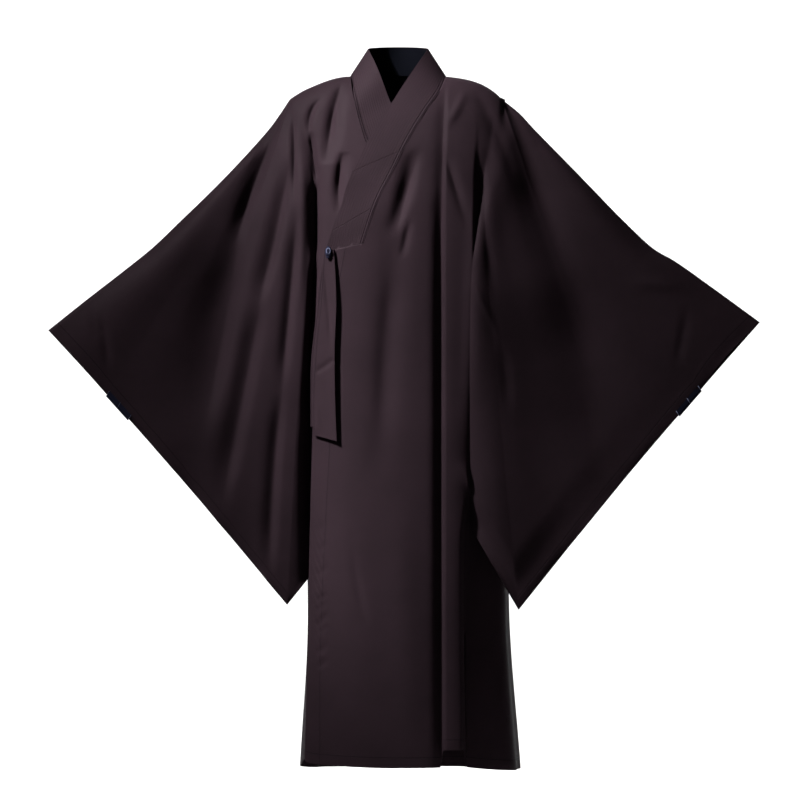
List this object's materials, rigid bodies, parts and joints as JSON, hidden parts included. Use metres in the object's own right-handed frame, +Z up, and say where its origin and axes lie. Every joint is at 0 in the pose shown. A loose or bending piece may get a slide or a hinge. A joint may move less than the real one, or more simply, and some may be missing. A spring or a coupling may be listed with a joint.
{
  "type": "buddhist lay robe",
  "caption": "Long dark robe with a crossed front, a stitched neckband, two wide square sleeves partly sewn shut at the cuffs, and ties at the side.",
  "frame": {"origin": "between the shoulders, at the level of the neckband's seam, where a wearer's neck and shoulders hold the robe up", "axes": "+Z up, -Y towards the front of the robe, +X towards the wearer's left"},
  "size_m": [1.3395, 0.3123, 1.3582],
  "materials": {
    "robe_cloth": "plain poly-cotton with a soft sheen, dark plum brown",
    "band_cloth": "the same cloth in several layers, quilted in close parallel rows",
    "navy_cloth": "plain dark navy cotton"
  },
  "bodies": {
    "root": {"front_left_lapped": "robe_cloth", "front_right_under": "robe_cloth", "back_left": "robe_cloth", "back_right": "robe_cloth", "sleeve_left_front": "robe_cloth", "sleeve_left_back": "robe_cloth", "sleeve_right_front": "robe_cloth", "sleeve_right_back": "robe_cloth", "neckband": "band_cloth", "tie_front": "band_cloth", "tie_back": "band_cloth", "tie_knot": "navy_cloth", "cuff_tack_left": "navy_cloth", "cuff_tack_right": "navy_cloth"}
  },
  "joints": []
}
